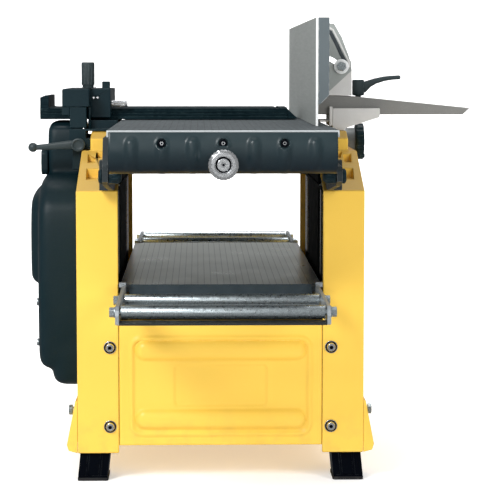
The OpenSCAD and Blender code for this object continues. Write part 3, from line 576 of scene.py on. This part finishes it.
def ease(value, low, high):
    """0 below low, 1 above high, smooth between."""
    t = min(max((value - low) / (high - low), 0.0), 1.0)
    return t * t * (3 - 2 * t)


def rounded_distance(x, z, half_w, half_h, radius):
    """Distance from a rounded rectangle's outline: negative inside."""
    dx, dz = abs(x) - half_w + radius, abs(z) - half_h + radius
    return math.hypot(max(dx, 0), max(dz, 0)) + min(max(dx, dz), 0) - radius


def resample(points, gap):
    """Points about `gap` apart along a line."""
    result = [points[0]]
    for a, b in zip(points, points[1:]):
        n = max(1, round(math.dist(a, b) / gap))
        result += [tuple(p + (q - p) * k / n for p, q in zip(a, b)) for k in range(1, n + 1)]
    return result


def rounded(points, passes):
    """Cuts a closed outline's corners again and again until they are round."""
    for _ in range(passes):
        cut = []
        for i, a in enumerate(points):
            b = points[(i + 1) % len(points)]
            cut.append(tuple(p * 0.75 + q * 0.25 for p, q in zip(a, b)))
            cut.append(tuple(p * 0.25 + q * 0.75 for p, q in zip(a, b)))
        points = cut
    return points


# ---- pressed yellow panels ----
PANEL_STEP = 1.7
PANEL_HALF = 134.8
PANEL_EDGE = 3.0
PANEL_SETBACK = 3.5
PANEL_RETURN = 20.0
PANEL_SHEET = 1.6
PRESSED_MIDDLE_Z = 129
PRESSED_FRAME_HEIGHT = 2.8
BEAD_ZS = (177, 85)
BEAD_HALF = (112, 12)
BEAD_HEIGHT = 7.2
BEAD_LIP = 1.0
FIELD_MIDDLE_Z = 129.5
FIELD_DEPTH = 1.7


def panel_relief(x, z):
    """How far the pressed panel stands out: a rounded frame, two domed beads and a shallow middle field."""
    frame_line = abs(rounded_distance(x, z - PRESSED_MIDDLE_Z, 118, 64, 13))
    height = PRESSED_FRAME_HEIGHT * (1 - ease(frame_line, 1.0, 4.2))
    for bead_z in BEAD_ZS:
        inside = -rounded_distance(x, z - bead_z, *BEAD_HALF, BEAD_HALF[1])
        if inside > -BEAD_LIP:
            t = min((inside + BEAD_LIP) / BEAD_HALF[1], 1.0)
            height += BEAD_HEIGHT * math.sqrt(1 - (1 - t) ** 2) ** 1.2
    height -= FIELD_DEPTH * (1 - ease(rounded_distance(x, z - FIELD_MIDDLE_Z, 61, 27.5, 5), -1.3, 1.3))
    return height


def pressed_panel(node, facing):
    """A thin pressed sheet with turned-in edges, in place of the CAD panel."""
    low, high = (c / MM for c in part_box(node))
    front = low.y if facing < 0 else high.y
    front += -facing * PANEL_SETBACK
    edge = PANEL_EDGE
    columns = resample([(edge - PANEL_HALF,), (PANEL_HALF - edge,)], PANEL_STEP)
    rows = resample([(low.z + edge,), (high.z - edge,)], PANEL_STEP)
    verts = []
    turn = [math.radians(a) for a in (0, 30, 60, 90)]

    def place(x, z, back):
        lift = 0.0 if back else panel_relief(x, z)
        return (x, front + facing * lift - facing * back, z)

    rings_z = [(low.z + edge - edge * math.sin(t), edge - edge * math.cos(t)) for t in reversed(turn[1:])]
    rings_z += [(r[0], 0.0) for r in rows]
    rings_z += [(high.z - edge + edge * math.sin(t), edge - edge * math.cos(t)) for t in turn[1:]]
    rings_z.append((high.z, PANEL_RETURN))
    rings_x = [(-PANEL_HALF, PANEL_RETURN)]
    rings_x += [(edge - PANEL_HALF - edge * math.sin(t), edge - edge * math.cos(t)) for t in reversed(turn[1:])]
    rings_x += [(c[0], 0.0) for c in columns]
    rings_x += [(PANEL_HALF - edge + edge * math.sin(t), edge - edge * math.cos(t)) for t in turn[1:]]
    rings_x.append((PANEL_HALF, PANEL_RETURN))
    for z, back_z in rings_z:
        for x, back_x in rings_x:
            verts.append(place(x, z, max(back_x, back_z)))
    mesh = mesh_from(node + "_pressed", verts, grid_faces(len(rings_z), len(rings_x)))
    piece = add_piece(node + "_pressed", mesh, "yellow", "frame", [node], 60)
    sheet = piece.modifiers.new("sheet", "SOLIDIFY")
    sheet.thickness = PANEL_SHEET * MM
    sheet.offset = -1


# ---- table-end aprons ----
APRON_PITCH = 36.3
APRON_STEP = 1.1
APRON_KEPT = 7
APRON_PASSES = 60
APRON_SCREWS = (-72.6, 0.0, 72.6)
APRON_SCREW_Y = 455.4
APRON_SCREW_Z = 461
APRON_HALF = 135.5
APRON_END = 1.6
RIB_TOP_Z = 460.5
KNOB_Z = 436.6
KNOB_FACE_Y = -472.2


def apron_lift(x, z, knob):
    """Soft finger ribs, round screw recesses and the knob's shallow seat, measured outwards."""
    k = round(x / APRON_PITCH)
    off = abs(x - k * APRON_PITCH)
    lift = 0.0
    if abs(k) <= 3:
        reach = math.hypot(off, max(z - RIB_TOP_Z, 0.0))
        rib = 1 - ease(reach, 1.4, 9.6)
        lift = rib * (3.1 * ease(z, 424, 448) + 0.8)
    for sx in APRON_SCREWS:
        near = math.hypot(x - sx, z - APRON_SCREW_Z)
        if near < 7:
            lift = lift * ease(near, 5.2, 7.0) - 4.5 * (1 - ease(near, 4.9, 5.5))
    if knob:
        near = math.hypot(x, z - KNOB_Z)
        if near < 24:
            lift = lift * ease(near, 20.5, 24)
    return lift


def relaxed(points, kept, passes):
    """Smooths a line by moving each point towards its neighbours; the first few points and the last stay."""
    for _ in range(passes):
        moved = list(points)
        for i in range(kept, len(points) - 1):
            moved[i] = tuple((a + 2 * b + c) / 4 for a, b, c in zip(points[i - 1], points[i], points[i + 1]))
        points = moved
    return points


def apron_piece(node, facing, knob):
    """A moulded end apron, in place of the CAD one."""
    outer = [(-448, 474), (-453, 474), (-455, 473.4), (-456.4, 470), (-457.9, 464), (-459.1, 457), (-459.5, 450),
             (-458.7, 443), (-456.6, 436.4), (-453.4, 430.6), (-449.4, 426.6), (-445, 424.8), (-441, 424.2)]
    inner = [(-440, 425), (-440, 430.5), (-447.6, 433.5)]
    outline = relaxed(resample(outer, APRON_STEP), APRON_KEPT, APRON_PASSES) + inner
    columns = [c[0] for c in resample([(-APRON_HALF,), (APRON_HALF,)], APRON_STEP)]
    verts = []
    for x in columns:
        for i, (y, z) in enumerate(outline):
            on_face = 3 < i < len(outline) - len(inner) - 2
            a, b = outline[i - 1], outline[(i + 1) % len(outline)]
            normal = Vector((a[1] - b[1], b[0] - a[0])).normalized()
            lift = apron_lift(x, z, knob) if on_face else 0.0
            end = ease(APRON_HALF - abs(x), 0.0, APRON_END)
            y2 = y - abs(normal.x) * lift + (1 - end) * 0.8
            z2 = z + (normal.y if normal.x < 0 else -normal.y) * lift
            verts.append((x, -facing * y2, z2))
    n = len(outline)
    faces = grid_faces(len(columns), n, closed_columns=True)
    faces.append(list(range(n)))
    faces.append(list(range((len(columns) - 1) * n, len(columns) * n)))
    mesh = mesh_from(node + "_moulded", verts, faces)
    body = "infeed" if facing < 0 else "frame"
    add_piece(node + "_moulded", mesh, "apron_plastic", body, [node], 50)


def socket_screw(name, x, body, facing):
    """A black socket screw with a bright hexagon in its head."""
    y, z = facing * APRON_SCREW_Y, APRON_SCREW_Z
    out = (0, facing, 0)
    head = lathe((x, y, z), out, [(-4, 4.3), (0.6, 4.3), (1.1, 3.9), (1.1, 2.9), (0.2, 2.9)], 48)
    add_piece(name, mesh_from(name, *head), "black_steel", body)
    bright = lathe((x, y, z), out, [(-1.0, 2.6), (0.5, 2.6), (0.75, 2.3), (0.75, 1.4), (0.1, 1.3)], 6)
    add_piece(name + "_hex", mesh_from(name + "_hex", *bright), "chrome", body, smooth_angle=20)


# ---- belt cover ----
COVER_VOXEL = 3.0
COVER_WALL = 2.4


def loft(outline, layers):
    """A closed solid from an outline in YZ, drawn in by each layer's inset, at each layer's X."""
    cy = sum(p[0] for p in outline) / len(outline)
    cz = sum(p[1] for p in outline) / len(outline)
    half_y = max(abs(p[0] - cy) for p in outline)
    half_z = max(abs(p[1] - cz) for p in outline)
    verts = []
    for x, inset in layers:
        ky, kz = 1 - inset / half_y, 1 - inset / half_z
        verts += [(x, cy + (y - cy) * ky, cz + (z - cz) * kz) for y, z in outline]
    n = len(outline)
    faces = grid_faces(len(layers), n, closed_columns=True)
    faces.append(list(range(n)))
    faces.append(list(range((len(layers) - 1) * n, len(layers) * n)))
    return verts, faces


def round_layers(base, face, radius, steps=6):
    """Layers of a lofted solid from its open base to its face, with a rounded rim."""
    layers = [(base, 0.0), (face + radius, 0.0)]
    for k in range(1, steps + 1):
        t = math.pi / 2 * k / steps
        layers.append((face + radius - radius * math.sin(t), radius * (1 - math.cos(t))))
    return layers


def belt_cover_piece():
    low, high = (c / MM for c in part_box("belt_cover"))
    base = high.x - 0.2
    lower = rounded([(-146, 130), (146, 130), (169, 152), (169, 346), (150, 381), (100, 403), (-100, 403),
                     (-150, 381), (-169, 346), (-169, 152)], 3)
    foot = rounded([(-146, 104), (146, 104), (166, 138), (166, 220), (-166, 220), (-166, 138)], 3)
    upper = rounded([(-74, 380), (74, 380), (74, 452), (66, 474), (-66, 474), (-74, 452)], 2)
    bulge = rounded([(-120, 246), (120, 246), (134, 262), (134, 352), (114, 384), (-114, 384), (-134, 352),
                     (-134, 262)], 3)
    parts = [loft(lower, round_layers(base, -249.0, 15)), loft(upper, round_layers(base, -242, 9)),
             loft(foot, round_layers(base, -231, 18)), loft(bulge, round_layers(base, low.x + 0.4, 13))]
    solid = bpy.data.objects.new("cover_solid", mesh_from("cover_solid", *joined(*parts)))
    bpy.context.scene.collection.objects.link(solid)
    remesh = solid.modifiers.new("remesh", "REMESH")
    remesh.mode = "VOXEL"
    remesh.voxel_size = COVER_VOXEL * MM
    soft = solid.modifiers.new("soft", "SMOOTH")
    soft.factor, soft.iterations = 0.6, 9
    graph = bpy.context.evaluated_depsgraph_get()
    mesh = bpy.data.meshes.new_from_object(solid.evaluated_get(graph))
    bpy.data.objects.remove(solid)
    bm = bmesh.new()
    bm.from_mesh(mesh)
    inside = [f for f in bm.faces if f.calc_center_median().x > (base - 3.5) * MM]
    bmesh.ops.delete(bm, geom=inside, context="FACES")
    bm.to_mesh(mesh)
    bm.free()
    piece = add_piece("belt_cover_moulded", mesh, "black_plastic", "frame", ["belt_cover"], 180)
    wall = piece.modifiers.new("wall", "SOLIDIFY")
    wall.thickness = COVER_WALL * MM
    wall.offset = -1


# ---- levers ----
GUARD_LEVER_X, GUARD_LEVER_Y, GUARD_LEVER_Z = -195, -113.5, 444
FENCE_LEVER_X, FENCE_LEVER_Y = 198.2, -60
BALL_RADIUS = 6.6


def guard_lever_piece():
    top_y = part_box("guard_lever")[1].y / MM
    hub_x, arm_y, hub_z = GUARD_LEVER_X, GUARD_LEVER_Y, GUARD_LEVER_Z
    hub = lathe((hub_x, top_y, hub_z), (0, -1, 0),
                [(0, 4), (13.5, 4), (13.5, 8.2), (14.4, 8.7), (19.4, 8.7), (19.4, 8.9), (20.2, 9.2), (26.6, 9.2),
                 (27.4, 8.8), (27.8, 7.2), (27.0, 6.6), (26.4, 5.6), (26.4, 3.0)], 48)
    path = [(hub_x - 2, arm_y, hub_z, 3.6, 6.9), (-206, arm_y, 443.6, 3.6, 6.2), (-222, arm_y, 442.3, 3.4, 5.2),
            (-238, arm_y, 440.9, 3.3, 4.4), (-250, arm_y, 440.2, 3.4, 3.8), (-258, arm_y, 440, 3.8, 3.6)]
    angles = [math.radians(a) for a in range(-80, 81, 10)]
    ball = lathe((-258.5, arm_y, 440), (-1, 0, 0),
                 [(BALL_RADIUS * math.sin(a), BALL_RADIUS * math.cos(a)) for a in angles], 40)
    add_piece("guard_lever_moulded", mesh_from("guard_lever_moulded", *joined(hub, sweep(path), ball)),
              "grip_plastic", "guard_lever", ["guard_lever"], 35)


def fence_lever_piece():
    bottom_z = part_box("fence_lever")[0].z / MM
    y = FENCE_LEVER_Y
    hub = lathe((FENCE_LEVER_X, y, bottom_z), (0, 0, 1),
                [(0, 4), (36.5, 4), (37, 7.6), (38.5, 8.6), (57, 8.6), (59, 8.0), (59.4, 6.4), (58.4, 5.8),
                 (58.4, 3.0)], 48)
    path = [(200, y, 521, 4.6, 8.5), (206, y, 522.5, 4.6, 7.6), (213, y, 527.2, 4.5, 5.4),
            (222, y, 531.2, 4.4, 4.2), (234, y, 534.4, 4.3, 3.5), (246, y, 536, 4.4, 3.1),
            (256, y, 536.6, 4.6, 3.0), (258, y, 536.6, 4.0, 2.4)]
    add_piece("fence_lever_moulded", mesh_from("fence_lever_moulded", *joined(hub, sweep(path))),
              "grip_plastic", "fence_lever", ["fence_lever"], 35)


# ---- small bright and dark details ----
SCREW_X, SCREW_ZS, SCREW_Y = 146.5, (181, 75), 240
CLAMP_X, CLAMP_Y, CLAMP_Z = 171.5, -90.2, 551.8
CARRIER_SCREW_XS, CARRIER_SCREW_Y, CARRIER_SCREW_Z = (-176.5, -171), -72.4, 508
HEIGHT_ROD = (-188.8, -102.4, 437.5)


def flat_ring(origin, axis, inner, outer, thick, steps=48):
    """A thin washer."""
    verts, _ = lathe(origin, axis, [(0, inner), (0, outer), (thick, outer), (thick, inner)], steps)
    return verts, grid_faces(4, steps, closed_rows=True, closed_columns=True)


def screw_shadows():
    """Dark rings and sockets that set off the bright panel screws: painted shade in their grooves and hex sockets.
    """
    parts = []
    for side in (-1, 1):
        for x in (-SCREW_X, SCREW_X):
            for z in SCREW_ZS:
                face = side * (SCREW_Y + 1.4)
                parts.append(flat_ring((x, face, z), (0, side, 0), 6.3, 7.7, 0.25))
                parts.append(lathe((x, face + side * 2.0, z), (0, side, 0), [(0, 2.4), (1.1, 2.4), (1.3, 2.1)], 6))
    add_piece("screw_shadows", mesh_from("screw_shadows", *joined(*parts)), "black_steel", "frame",
              smooth_angle=20)


def knob_painted_shade():
    """Painted shade in the depth knob: a dark disc in its groove and a dark centre."""
    y = KNOB_FACE_Y
    ring = flat_ring((0, y, KNOB_Z), (0, -1, 0), 7.6, 9.6, 0.4, 64)
    middle = lathe((0, y - 3.0, KNOB_Z), (0, -1, 0), [(0, 1.7), (0.8, 1.7), (1.0, 1.5)], 6)
    add_piece("knob_groove_shade", mesh_from("knob_groove_shade", *joined(ring, middle)), "black_steel", "depth_knob",
              smooth_angle=20)


def clamp_details():
    """The bright washer and hexagon of the fence tilt clamp."""
    x, y, z = CLAMP_X, CLAMP_Y, CLAMP_Z
    washer = lathe((x, y, z), (0, -1, 0), [(-1.2, 10.4), (0.6, 10.4), (0.9, 10.0), (0.9, 7.4)], 56)
    add_piece("clamp_washer", mesh_from("clamp_washer", *washer), "bright_steel", "fence_arm")
    head = lathe((x, y - 0.8, z), (0, -1, 0), [(0, 6.9), (5.0, 6.9), (5.4, 6.2), (5.4, 3.2), (5.2, 3.0)], 6)
    add_piece("clamp_hex", mesh_from("clamp_hex", *head), "zinc", "fence_arm", smooth_angle=20)


def carrier_details():
    """Two small screws on the guard carrier, and its thin height rod."""
    for k, x in enumerate(CARRIER_SCREW_XS):
        screw = lathe((x, CARRIER_SCREW_Y, CARRIER_SCREW_Z), (0, -1, 0),
                      [(0, 1.7), (1.2, 1.7), (1.6, 1.3), (1.6, 0.9), (1.0, 0.8)], 32)
        add_piece("carrier_screw_%d" % k, mesh_from("carrier_screw", *screw), "chrome", "guard_carrier")
    rod = lathe(HEIGHT_ROD, (0, 0, 1), [(0, 1.4), (0.4, 1.7), (28.4, 1.7), (28.8, 1.4)], 32)
    add_piece("height_rod", mesh_from("height_rod", *rod), "chrome", "guard_carrier")


def quadrant_details():
    """A raised bright rim along the quadrant's curved edge, and a dark band inside it."""
    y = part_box("fence_quadrant")[0].y / MM
    edge = [(140, 611), (152, 609.5), (161, 604), (170, 587), (177, 572), (183.4, 560), (185, 551)]
    path = resample(edge, 3)
    for name, inset, wide, finish, slot in (("quadrant_rim", 1.6, 1.2, "light_alu", "light_alu"),
                                            ("quadrant_band", 6.4, 2.6, "band_grey", "arm_grey")):
        line = []
        for i, (x, z) in enumerate(path):
            a, b = path[max(i - 1, 0)], path[min(i + 1, len(path) - 1)]
            across = Vector((b[1] - a[1], a[0] - b[0])).normalized() * inset
            line.append((x + across.x, y - 0.2, z + across.y, 0.5, wide))
        add_piece(name, mesh_from(name, *sweep(line, 12)), finish, "fence")


# ---- stage ----
FLOOR_HALF = 6.0
BACKDROP_Y = 4.0
BACKDROP_R = 1.5
BACKDROP_STEPS = 12
STUDIO_CENTRE = (0, 0, 0.35)
WALL_TARGET = (0, 4.0, 0.8)
WORLD_STRENGTH = 0.3
SENSOR_WIDTH = 36
LENS = 116.34
CAMERA_SHIFT = (0.04, -0.12)
CAMERA_CLIP = (0.05, 50)
CAMERA_PLACE = (-0.0305, -2.3579, 0.5485)
CAMERA_DOWN = 4.286
CAMERA_TURN = -1.158


def stage_paper():
    s = Shader("stage_paper", (0.9, 0.9, 0.9), roughness=0.9, Emission_Color=(1, 1, 1, 1), Emission_Strength=0.34)
    s.tint(s.ramp(s.noise(0.5, 3), 0.3, 0.7, 0, 0.2), (0.86, 0.86, 0.86))
    return s.done()


def backdrop():
    """A pale floor that curves up into a wall behind the machine."""
    profile = [(-FLOOR_HALF, 0.0), (BACKDROP_Y - BACKDROP_R, 0.0)]
    for step in range(1, BACKDROP_STEPS + 1):
        a = math.radians(90 * step / BACKDROP_STEPS)
        profile.append((BACKDROP_Y - BACKDROP_R + BACKDROP_R * math.sin(a), BACKDROP_R - BACKDROP_R * math.cos(a)))
    profile.append((BACKDROP_Y, FLOOR_HALF))
    bm = bmesh.new()
    rows = [[bm.verts.new((x, y, z)) for x in (-FLOOR_HALF, FLOOR_HALF)] for y, z in profile]
    for a, b in zip(rows, rows[1:]):
        bm.faces.new((a[0], a[1], b[1], b[0]))
    mesh = bpy.data.meshes.new("backdrop")
    bm.to_mesh(mesh)
    bm.free()
    mesh.materials.append(stage_paper())
    piece = bpy.data.objects.new("backdrop", mesh)
    bpy.context.scene.collection.objects.link(piece)
    for face in mesh.polygons:
        face.use_smooth = True
    piece.visible_glossy = False


def softbox(name, place, target, size, power, in_reflections=True):
    light = bpy.data.lights.new(name, "AREA")
    light.shape = "SQUARE"
    light.size = size
    light.energy = power
    lamp = bpy.data.objects.new(name, light)
    lamp.location = place
    lamp.visible_glossy = in_reflections
    lamp.rotation_euler = (Vector(target) - Vector(place)).to_track_quat("-Z", "Y").to_euler()
    bpy.context.scene.collection.objects.link(lamp)


def studio():
    centre = STUDIO_CENTRE
    softbox("key", (-1.5, -2.3, 2.15), centre, 1.0, 82)
    softbox("fill", (1.9, -2.3, 1.5), centre, 1.2, 38, False)
    softbox("front", (-0.5, -3.1, 0.95), centre, 1.1, 7)
    softbox("top", (0.1, 0.3, 2.6), centre, 1.6, 8)
    softbox("wall", (0.0, 1.2, 2.8), WALL_TARGET, 2.0, 110)
    world = bpy.data.worlds.new("studio")
    bpy.context.scene.world = world
    world.use_nodes = True
    background = world.node_tree.nodes["Background"]
    background.inputs["Color"].default_value = (1, 1, 1, 1)
    background.inputs["Strength"].default_value = WORLD_STRENGTH
    bpy.context.scene.view_settings.view_transform = "Standard"


def camera():
    data = bpy.data.cameras.new("camera")
    data.sensor_width = SENSOR_WIDTH
    data.lens = LENS
    data.shift_x, data.shift_y = CAMERA_SHIFT
    data.clip_start, data.clip_end = CAMERA_CLIP
    cam = bpy.data.objects.new("camera", data)
    cam.location = CAMERA_PLACE
    cam.rotation_euler = (math.radians(90 - CAMERA_DOWN), 0, math.radians(CAMERA_TURN))
    bpy.context.scene.collection.objects.link(cam)
    bpy.context.scene.camera = cam


dress_frame()
pressed_panel("front_panel", -1)
pressed_panel("rear_panel", 1)
apron_piece("infeed_apron", -1, True)
apron_piece("outfeed_apron", 1, False)
for k, screw_x in enumerate(APRON_SCREWS):
    socket_screw("infeed_screw_%d" % k, screw_x, "infeed", -1)
    socket_screw("outfeed_screw_%d" % k, screw_x, "frame", 1)
belt_cover_piece()
guard_lever_piece()
fence_lever_piece()
carrier_details()
screw_shadows()
knob_painted_shade()
clamp_details()
quadrant_details()
backdrop()
studio()
camera()
